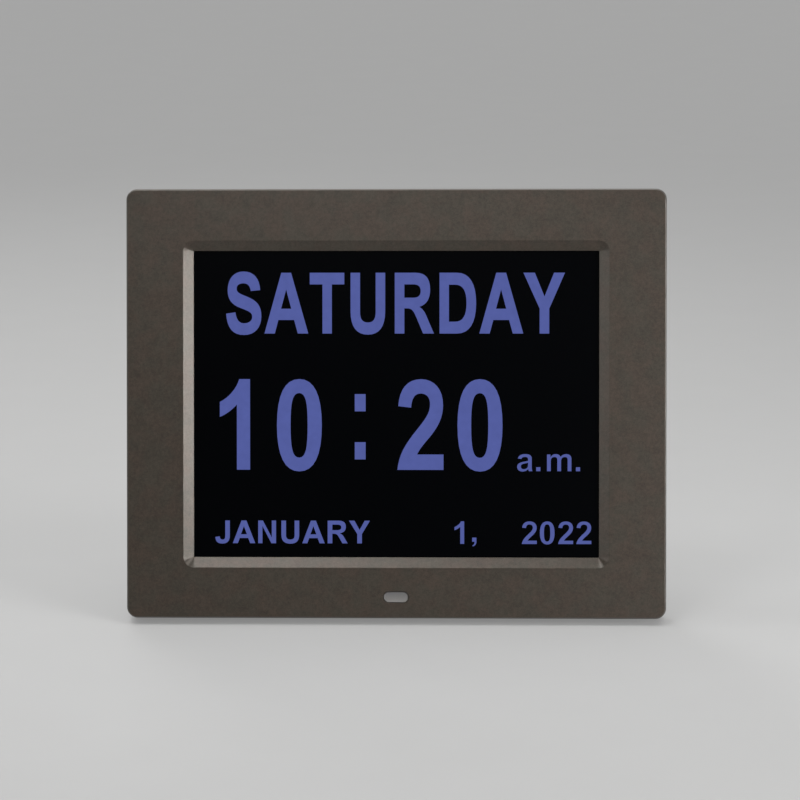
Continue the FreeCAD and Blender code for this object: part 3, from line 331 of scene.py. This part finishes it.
def frame_paint():
    """The frame's satin taupe paint: metal flakes, faint clouds, and along the edge a brighter
    colour, partly a bright cut and partly a painted highlight.
    """
    made = Finish("frame_paint")
    flakes = made.ramp(made.noise(FLAKE_SIZE, RICH_DETAIL), *SPECK_RANGE)
    grain = made.ramp(made.noise(GRAIN_SIZE), *SPECK_RANGE)
    patches = made.ramp(made.noise(PATCH_SIZE), *SPECK_RANGE)
    clouds = made.ramp(made.noise(CLOUD_SIZE, RICH_DETAIL), *CLOUD_RANGE)
    speck = made.math("MULTIPLY", flakes, FLAKE_SHARE)
    speck = made.math("MULTIPLY_ADD", grain, GRAIN_SHARE, speck)
    speck = made.math("MULTIPLY_ADD", patches, PATCH_SHARE, speck)
    dark = made.blend(clouds, shade(FRAME_WARM, FRAME_DARK), shade(FRAME_COOL, FRAME_DARK))
    light = made.blend(clouds, shade(FRAME_WARM, FRAME_LIGHT), shade(FRAME_COOL, FRAME_LIGHT))
    # The chamfer along the edge gets a brighter, more metallic colour: partly a bright cut, partly a
    # painted highlight
    turned = made.math("SUBTRACT", made.facing(), EDGE_FACING)
    cut_and_highlight = made.math("LESS_THAN", made.math("ABSOLUTE", turned), EDGE_RANGE)
    made.set(made.shader, {
        "Base Color": made.blend(cut_and_highlight, made.blend(speck, dark, light), EDGE_CUT_AND_HIGHLIGHT_COLOUR),
        "Metallic": made.span(cut_and_highlight, FRAME_METAL, EDGE_METAL),
        "Roughness": made.span(grain, *FRAME_ROUGHNESS),
    })
    made.bump(flakes, FLAKE_RELIEF, Normal=made.add("Bevel", "Normal", Radius=mm(SOFT_EDGE)))
    return made.material


def screen_black():
    """The black screen: a dim anti-glare surface."""
    made = Finish("screen_black", Specular_IOR_Level=0.03)
    fine = made.noise(SCREEN_GRAIN)
    made.set(made.shader, {
        "Base Color": made.blend(fine, SCREEN_DARK, SCREEN_LIGHT),
        "Roughness": made.span(fine, *SCREEN_ROUGHNESS),
    })
    return made.material


def sensor_lens():
    """The sensor's milky grey window, lighter at its lower edge and darker at its upper edge: painted
    light and shade.
    """
    made = Finish("sensor_lens", Specular_IOR_Level=0.5)
    low, high = (place(0, 0, SENSOR_MIDDLE + side * SENSOR_HEIGHT / 2).z for side in (-1, 1))
    # From painted light at the lower edge to painted shade at the upper edge
    painted_light_to_shade = made.ramp(made.split(made.coordinates)[2], low, high)
    made.set(made.shader, {
        "Base Color": made.blend(painted_light_to_shade, SENSOR_PAINTED_LIGHT, SENSOR_PAINTED_SHADE),
        "Roughness": made.span(made.noise(SENSOR_GRAIN), *SENSOR_ROUGHNESS),
    })
    return made.material


def lit_pixels():
    """The lit parts of the screen: blue-violet, with the faint grid of the panel's pixels."""
    made = Finish(
        "lit_pixels", Specular_IOR_Level=0.04, Roughness=0.26, Emission_Strength=1.0,
        Base_Color=LETTER_BASE,
    )
    lean = (math.radians(LEAN), 0, 0)
    across, _, up = made.split(
        made.add("Mapping", "Vector", Vector=made.coordinates, Rotation=lean))
    waves = [
        made.math("SINE", made.math("MULTIPLY", way, math.tau / mm(PIXEL_PITCH)))
        for way in (across, up)
    ]
    grid = made.math("MULTIPLY", *waves)
    share = made.math("MULTIPLY_ADD", grid, PIXEL_SHARE, made.noise(GLOW_PATCH))
    made.set(made.shader, {"Emission Color": made.tones(share, LETTER_GLOW, GLOW_SPREAD)})
    return made.material


def board_green():
    """A circuit board: green mask over copper tracks."""
    made = Finish("board_green", Roughness=0.35)
    stripes = made.math("PINGPONG", made.noise(TRACK_SIZE, 1.0), TRACK_FOLD)
    tracks = made.math("GREATER_THAN", stripes, TRACK_FOLD / 2)
    made.set(made.shader, {"Base Color": made.blend(tracks, BOARD_MASK, BOARD_TRACK)})
    made.bump(tracks, TRACK_RELIEF)
    return made.material


def finishes():
    """Every finish, by the record's slot that it dresses."""
    made = {
        "frame_paint": frame_paint(),
        "screen_glass": screen_black(),
        "screen_panel": lit_pixels(),
        "circuit_board": board_green(),
        "sensor_lens": sensor_lens(),
    }
    for slot, look in PLAIN.items():
        made[slot] = grained(slot, *look, Metallic=METALS.get(slot, 0.0))
    return made


# Letters and signs. An outline is read like a drawing: M starts a loop at a point, L draws a line to
# one, H and V draw level and upright lines, C draws a curve, and Z closes the loop. Letters are in
# hundredths of a capital's height, in the narrow widths of the day; the date is stretched. Before
# its outline, each has the room to its left and right.

GLYPHS = {
    "A": (-0.9, -0.9, "M0,0 L27.8,100 H44.7 L73,0 H54.6 L48.6,22 H24.1 L18.2,0 Z "
                      "M28.8,41.6 H43.6 L36.2,69.5 Z"),
    "D": (7.0, 4.5, "M0,0 V100 H29 C50,100 60.7,82 60.7,50 C60.7,18 50,0 29,0 Z "
                    "M16.6,20.6 H26 C38,20.6 43.7,30 43.7,50 C43.7,70 38,79.2 26,79.2 H16.6 Z"),
    "J": (2.5, 7.0, "M30.6,100 H47.3 V36 C47.3,10 39,-1.8 22.5,-1.8 C7,-1.8 0,9 0,30 L16,32.5 "
                    "C16.2,22.5 18.5,18.8 23.2,18.8 C28.6,18.8 30.6,22.5 30.6,36 Z"),
    "N": (7.0, 7.0, "M0,0 V100 H16.6 L42,33 V100 H57.7 V0 H41.2 L15.6,68 V0 Z"),
    "R": (7.0, 0.4, "M0,0 V100 H34 C51,100 58.7,91 58.7,72 C58.7,57 53,47.5 42,43.8 "
                    "C48,40 51,34 54.5,25 L65.2,0 H46.2 L34.5,28 C30,38.5 27,40.8 21,40.8 "
                    "H16.9 V0 Z "
                    "M16.9,59.5 H30.5 C38.5,59.5 42,62.5 42,69.7 C42,76.5 38.5,79.7 31,79.7 "
                    "H16.9 Z"),
    "S": (2.8, 4.4, "M0,33.5 L16.4,36 C17.8,24 22,18 29.8,18 C38,18 42.5,22 42.5,28 "
                    "C42.5,34.5 37,36.5 24,41.5 C9,47 2.6,56 2.6,71 C2.6,90 13,102.1 29,102.1 "
                    "C46,102.1 56,91 56.9,70.5 L40.3,69 C39.2,77.5 35.5,81.5 29,81.5 "
                    "C22,81.5 18.6,78.5 18.6,73.5 C18.6,67.5 23.5,65.8 35,61.2 "
                    "C51,54.8 58.7,46.5 58.7,29 C58.7,10 48,-2.4 29.8,-2.4 C11,-2.4 1.5,9 0,33.5 Z"),
    "T": (1.8, 1.8, "M0,100 H57.4 V79.7 H37.2 V0 H20.6 V79.7 H0 Z"),
    "U": (7.0, 7.2, "M0,100 V37 C0,11 10,-1.8 28.8,-1.8 C47.6,-1.8 57.6,11 57.6,37 V100 H40.8 "
                    "V36 C40.8,24 37,19.3 28.8,19.3 C20.6,19.3 16.8,24 16.8,36 V100 Z"),
    "Y": (-0.9, -0.9, "M26.7,0 V41 L0,100 H20 L35.2,62.5 L50.2,100 H69.4 L43.6,41 V0 Z"),
    "a": (2.0, 2.0, "M14.5,50 L1.8,52.5 C4,67 12,74 25.5,74 C39.5,74 46.3,68 46.3,53 V19 "
                    "C46.3,10 47,5 49.2,0 H35.6 C34.8,2.2 34.2,4.5 33.8,7.2 "
                    "C29.5,1.5 24,-1.6 17.5,-1.6 C7,-1.6 0,6.5 0,19.5 C0,33 7.5,39.5 22,42.8 "
                    "C28.5,44.2 31,45 32.8,46 V50 C32.8,56.2 30.8,58.8 25,58.8 "
                    "C18.5,58.8 16,56.5 14.5,50 Z "
                    "M32.8,34.5 C30.8,33.5 28.5,32.8 24.5,31.8 C17,30 13.6,27 13.6,20.8 "
                    "C13.6,15 16.5,11.6 21.3,11.6 C28,11.6 32.8,17 32.8,27.5 Z"),
    "m": (5.0, 5.0, "M0,0 V72.5 H12.8 V64.5 C16,71 21,74 27.5,74 C34.5,74 39.5,70.5 42.2,64 "
                    "C46.5,70.5 52,74 58.5,74 C69.5,74 75.7,67 75.7,52 V0 H61.9 V48 "
                    "C61.9,55.5 59.8,58.6 54.8,58.6 C48.5,58.6 44.7,53.5 44.7,43 V0 H30.9 V48 "
                    "C30.9,55.5 28.9,58.6 24,58.6 C17.5,58.6 13.8,53.5 13.8,43 V0 Z"),
    ".": (6.0, 4.0, "M0,0 V19.8 H15 V0 Z"),
    ",": (4.0, 4.0, "M0,29 H15.6 V10 C15.6,-2 11,-9.5 2.5,-12 L0,-5 C5,-3 7.2,1 7.2,8 H0 Z"),
    "0": (0.0, 1.5, "M25.1,100.4 C8.5,100.4 0,83 0,49.3 C0,15.5 8.5,-1.8 25.1,-1.8 "
                    "C41.7,-1.8 50.2,15.5 50.2,49.3 C50.2,83 41.7,100.4 25.1,100.4 Z "
                    "M24.9,84.1 C31.5,84.1 33.7,75 33.7,49.2 C33.7,23.5 31.5,14.2 24.9,14.2 "
                    "C18.2,14.2 15.9,23.5 15.9,49.2 C15.9,75 18.2,84.1 24.9,84.1 Z"),
    "1": (0.0, 11.0, "M18.7,0 V70.8 C13.5,65 7,60.3 0,57.7 V75.1 C9,79.5 18,88.5 21.5,100.3 "
                    "H34.1 V0 Z"),
    "2": (0.0, 0.0, "M51.5,17.8 H22.9 C24.5,21.5 28,26.5 35,34.5 C46,47.5 51,58 51,71.5 "
                    "C51,89 41.5,100.3 26.5,100.3 C11,100.3 2.2,89.5 1,69.9 L16,68.1 "
                    "C16.6,79 20,83.7 26,83.7 C32.3,83.7 35.8,79.6 35.8,72.6 "
                    "C35.8,65 33.5,59.5 22.5,46 C8,28 1.8,17.5 0,0 H51.5 Z"),
    ":": (0.0, 0.0, "M0,64.1 V83.9 H12.8 V64.1 Z M0,11.4 V31.2 H12.8 V11.4 Z"),
}


def trace(outline):
    """Follows an outline and returns its loops of points."""
    words = iter(re.findall(r"[A-Z]|-?[\d.]+", outline))
    loops = []

    def point():
        return Vector((float(next(words)), float(next(words))))

    for word in words:
        if word == "M":
            loops.append([point()])
        elif word == "L":
            loops[-1].append(point())
        elif word == "H":
            loops[-1].append(Vector((float(next(words)), loops[-1][-1].y)))
        elif word == "V":
            loops[-1].append(Vector((loops[-1][-1].x, float(next(words)))))
        elif word == "C":
            start, first, second, end = loops[-1][-1], point(), point(), point()
            for step in range(1, CURVE_STEPS + 1):
                part = step / CURVE_STEPS
                rest = 1 - part
                loops[-1].append(
                    start * rest**3 + first * 3 * rest**2 * part
                    + second * 3 * rest * part**2 + end * part**3
                )
    return [loop[:-1] if (loop[0] - loop[-1]).length < CLOSED_GAP else loop for loop in loops]


def moved(loops, across, up, wide, tall):
    """Loops scaled and then moved, from their own units to millimetres."""
    return [[Vector((across + spot.x * wide, up + spot.y * tall)) for spot in loop] for loop in loops]


def right_end(loops):
    """How far a shape reaches to the right."""
    return max(spot.x for loop in loops for spot in loop)


def surrounds(loop, spot):
    """Whether a loop goes round a point."""
    crossings = 0
    for start, end in zip(loop, loop[1:] + loop[:1]):
        if (start.y > spot.y) != (end.y > spot.y):
            level = start.x + (end.x - start.x) * (spot.y - start.y) / (end.y - start.y)
            crossings += level > spot.x
    return crossings % 2 == 1


def narrower(loops, trim):
    """The same outlines with thinner strokes: every edge is moved into the shape."""
    trimmed = []
    for loop in loops:
        following = loop[1:] + loop[:1]
        turn = sum(start.cross(end) for start, end in zip(loop, following))
        hole = any(surrounds(other, loop[0]) for other in loops if other is not loop)
        inward = trim if (turn > 0) != hole else -trim
        points = []
        for before, spot, after in zip(loop[-1:] + loop[:-1], loop, following):
            first, second = (spot - before).normalized(), (after - spot).normalized()
            both = first + second
            points.append(spot + Vector((-both.y, both.x)) * inward / (1 + first.dot(second)))
        trimmed.append(points)
    return trimmed


def cut_out(name, loops, depth, thick, behind, finish, body):
    """A thin flat piece of any outline, on what faces forwards or, if behind, on what faces back.

    It stands out from that depth by its thickness.
    """
    curve = bpy.data.curves.new(name, "CURVE")
    curve.dimensions = "2D"
    curve.fill_mode = "BOTH"
    curve.extrude = mm(thick) / 2
    for loop in loops:
        spline = curve.splines.new("POLY")
        spline.points.add(len(loop) - 1)
        spline.use_cyclic_u = True
        for knot, spot in zip(spline.points, loop):
            knot.co = (mm(spot.x), mm(spot.y), 0, 1)
    drawn = bpy.data.objects.new(name + "_drawn", curve)
    bpy.context.scene.collection.objects.link(drawn)
    finished = drawn.evaluated_get(bpy.context.evaluated_depsgraph_get())
    mesh = bpy.data.meshes.new_from_object(finished)
    bpy.data.objects.remove(drawn)
    side = -1 if behind else 1
    right = (side, 0, 0)
    up = (0, lean_sin, lean_cos)
    out = (0, -side * lean_cos, side * lean_sin)
    turn = Matrix((right, up, out)).transposed().to_4x4()
    middle = place(0, depth - side * thick / 2, 0)
    mesh.transform(Matrix.Translation(middle) @ turn)
    mesh.materials.clear()
    mesh.materials.append(finish)
    piece = bpy.data.objects.new(name, mesh)
    bpy.context.scene.collection.objects.link(piece)
    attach(piece, body)


def letters(text, left, base, tall, stretch):
    """A line of letters, each with its own room, from the left edge of the first."""
    unit = tall / CAPITAL_UNIT
    loops = []
    across = left - GLYPHS[text[0]][0] * unit * stretch
    for letter in text:
        before, after, outline = GLYPHS[letter]
        shape = trace(outline)
        across += before * unit * stretch
        loops += moved(shape, across, base, unit * stretch, unit)
        across += (right_end(shape) + after) * unit * stretch
    return loops


def digits(text, first, pitch, base, tall, stretch):
    """A row of digits in even cells: each is in the middle of its cell, with its own room."""
    unit = tall / CAPITAL_UNIT
    loops = []
    for number, digit in enumerate(text):
        before, after, outline = GLYPHS[digit]
        shape = trace(outline)
        wide = right_end(shape) + before + after
        left = first + number * pitch + (before - wide / 2) * unit * stretch
        loops += moved(shape, left, base, unit * stretch, unit)
    return loops


def dress_screen(finish):
    """The day, the time and the date, as lit letters on the screen."""
    lines = {
        "day_letters": letters("SATURDAY", left=-68.45, **DAY_LINE),
        "time_digits": digits("10:20", first=-62.75, pitch=24.15, **TIME_LINE),
        "time_half": letters("a.", left=48.3, **HALF_LINE) + letters("m.", left=60.25, **HALF_LINE),
        "date_letters": letters("JANUARY", left=-72.85, **DATE_LINE),
        "date_digits": digits("1", first=26.0, pitch=0, **DATE_DIGITS)
        + letters(",", left=30.3, **DATE_LINE)
        + digits("2022", first=53.35, pitch=7.27, **DATE_DIGITS),
    }
    for name, loops in lines.items():
        cut_out(
            name, narrower(loops, LETTER_TRIM), GLASS_DEPTH, LETTER_THICK, False, finish,
            "case",
        )


# The keys' signs, in millimetres from the middle of the key
KEY_SIGNS = {
    "menu": "M-2,1.15 H2 V1.65 H-2 Z M-2,-0.25 H2 V0.25 H-2 Z M-2,-1.65 H2 V-1.15 H-2 Z",
    "up": "M-1.9,-1.2 H1.9 L0,1.5 Z",
    "down": "M-1.9,1.2 H1.9 L0,-1.5 Z",
    "left": "M1.2,-1.9 V1.9 L-1.5,0 Z",
    "right": "M-1.2,-1.9 V1.9 L1.5,0 Z",
    "power": "M-0.22,0.1 V2 H0.22 V0.1 Z "
             "M-0.75,1.5 C-1.5,1.1 -1.8,0.5 -1.8,0 C-1.8,-1.1 -1,-1.8 0,-1.8 "
             "C1,-1.8 1.8,-1.1 1.8,0 C1.8,0.5 1.5,1.1 0.75,1.5 L0.55,1.1 "
             "C1.1,0.8 1.36,0.4 1.36,0 C1.36,-0.85 0.7,-1.36 0,-1.36 "
             "C-0.7,-1.36 -1.36,-0.85 -1.36,0 C-1.36,0.4 -1.1,0.8 -0.55,1.1 Z",
}


def dress_keys(finish):
    """The printed sign on each key at the back."""
    for number, key in enumerate(KEYS):
        level = KEY_LOW + number * KEY_PITCH
        loops = moved(trace(KEY_SIGNS[key]), -KEY_COLUMN, level, 1, 1)
        cut_out(
            key + "_sign", loops, KEY_TOP_DEPTH, SIGN_THICK, True, finish,
            key + "_key",
        )


def dress_frame(dressing):
    """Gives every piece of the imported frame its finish."""
    for part in frame["record"]["subparts"]:
        materials = frame["nodes"][part["node"]].data.materials
        materials.clear()
        materials.append(dressing[part["material_slot"]])


# The room: floor, light and camera

def add_floor():
    """A plain pale floor. Part of its paleness is there for the camera and for reflections alone."""
    bpy.ops.mesh.primitive_plane_add(size=FLOOR_SIZE)
    floor = bpy.context.active_object
    floor.name = "floor"
    made = Finish("floor", Roughness=0.9, Specular_IOR_Level=0.1, Emission_Color=(1, 1, 1))
    made.set(made.shader, {
        "Base Color": made.tones(made.noise(FLOOR_PATCH), FLOOR_COLOUR, FLOOR_SPREAD),
        "Emission Strength": made.math("MULTIPLY", made.seen(), FLOOR_GLOW),
    })
    floor.data.materials.append(made.material)


def add_world():
    """An even world, and over the horizon a haze that only the camera and reflections see."""
    world = bpy.data.worlds.new("world")
    made = Tree(world)
    direction = made.nodes.new("ShaderNodeTexCoord").outputs["Generated"]
    low, high = (math.sin(math.radians(angle)) for angle in HAZE_ANGLES)
    haze = made.math("MULTIPLY", made.ramp(made.split(direction)[2], high, low), made.seen())
    made.set(made.nodes["Background"], {
        "Color": (1, 1, 1),
        "Strength": made.math("MULTIPLY_ADD", haze, HAZE_GLOW, WORLD_LIGHT),
    })
    bpy.context.scene.world = world


def add_lights():
    """Soft lamps, all of them pointed at the clock, and an even light from above."""
    aim = place(0, 0, FACE_HEIGHT / 2)
    for name, spot, size, watts in LAMPS:
        lamp = bpy.data.lights.new(name, "AREA")
        lamp.size = size
        lamp.spread = math.radians(LAMP_SPREAD)
        lamp.energy = watts
        holder = bpy.data.objects.new(name, lamp)
        holder.location = spot
        holder.rotation_euler = (aim - Vector(spot)).to_track_quat("-Z", "Y").to_euler()
        bpy.context.scene.collection.objects.link(holder)
    sky = bpy.data.lights.new("sky", "SUN")
    sky.energy = SKY_POWER
    sky.angle = math.radians(SKY_ANGLE)
    holder = bpy.data.objects.new("sky", sky)
    holder.rotation_euler = (math.radians(SKY_TILT), 0, 0)
    bpy.context.scene.collection.objects.link(holder)


def add_camera():
    """The camera in front of the clock, a little above it and to its right."""
    azimuth, elevation = math.radians(CAMERA_AZIMUTH), math.radians(CAMERA_ELEVATION)
    level = math.cos(elevation)
    back = Vector((math.sin(azimuth) * level, -math.cos(azimuth) * level, math.sin(elevation)))
    camera = bpy.data.cameras.new("camera")
    camera.sensor_width = CAMERA_SENSOR
    camera.lens = CAMERA_SENSOR * PIXELS_PER_MM * CAMERA_DISTANCE * 1000 / IMAGE_SIZE
    camera.shift_x = 0.5 - FACE_MIDDLE_PIXEL[0] / IMAGE_SIZE
    camera.shift_y = FACE_MIDDLE_PIXEL[1] / IMAGE_SIZE - 0.5
    holder = bpy.data.objects.new("camera", camera)
    aim = place(0, 0, FACE_HEIGHT / 2)
    roll = Matrix.Rotation(math.radians(CAMERA_ROLL), 3, "Z")
    turn = (-back).to_track_quat("-Z", "Y").to_matrix() @ roll
    holder.matrix_world = Matrix.Translation(aim + back * CAMERA_DISTANCE) @ turn.to_4x4()
    bpy.context.scene.collection.objects.link(holder)
    bpy.context.scene.camera = holder


dressings = finishes()
dress_frame(dressings)
dress_screen(dressings["screen_panel"])
dress_keys(dressings["white_plastic"])
add_floor()
add_world()
add_lights()
add_camera()
bpy.context.scene.view_settings.view_transform = "Standard"
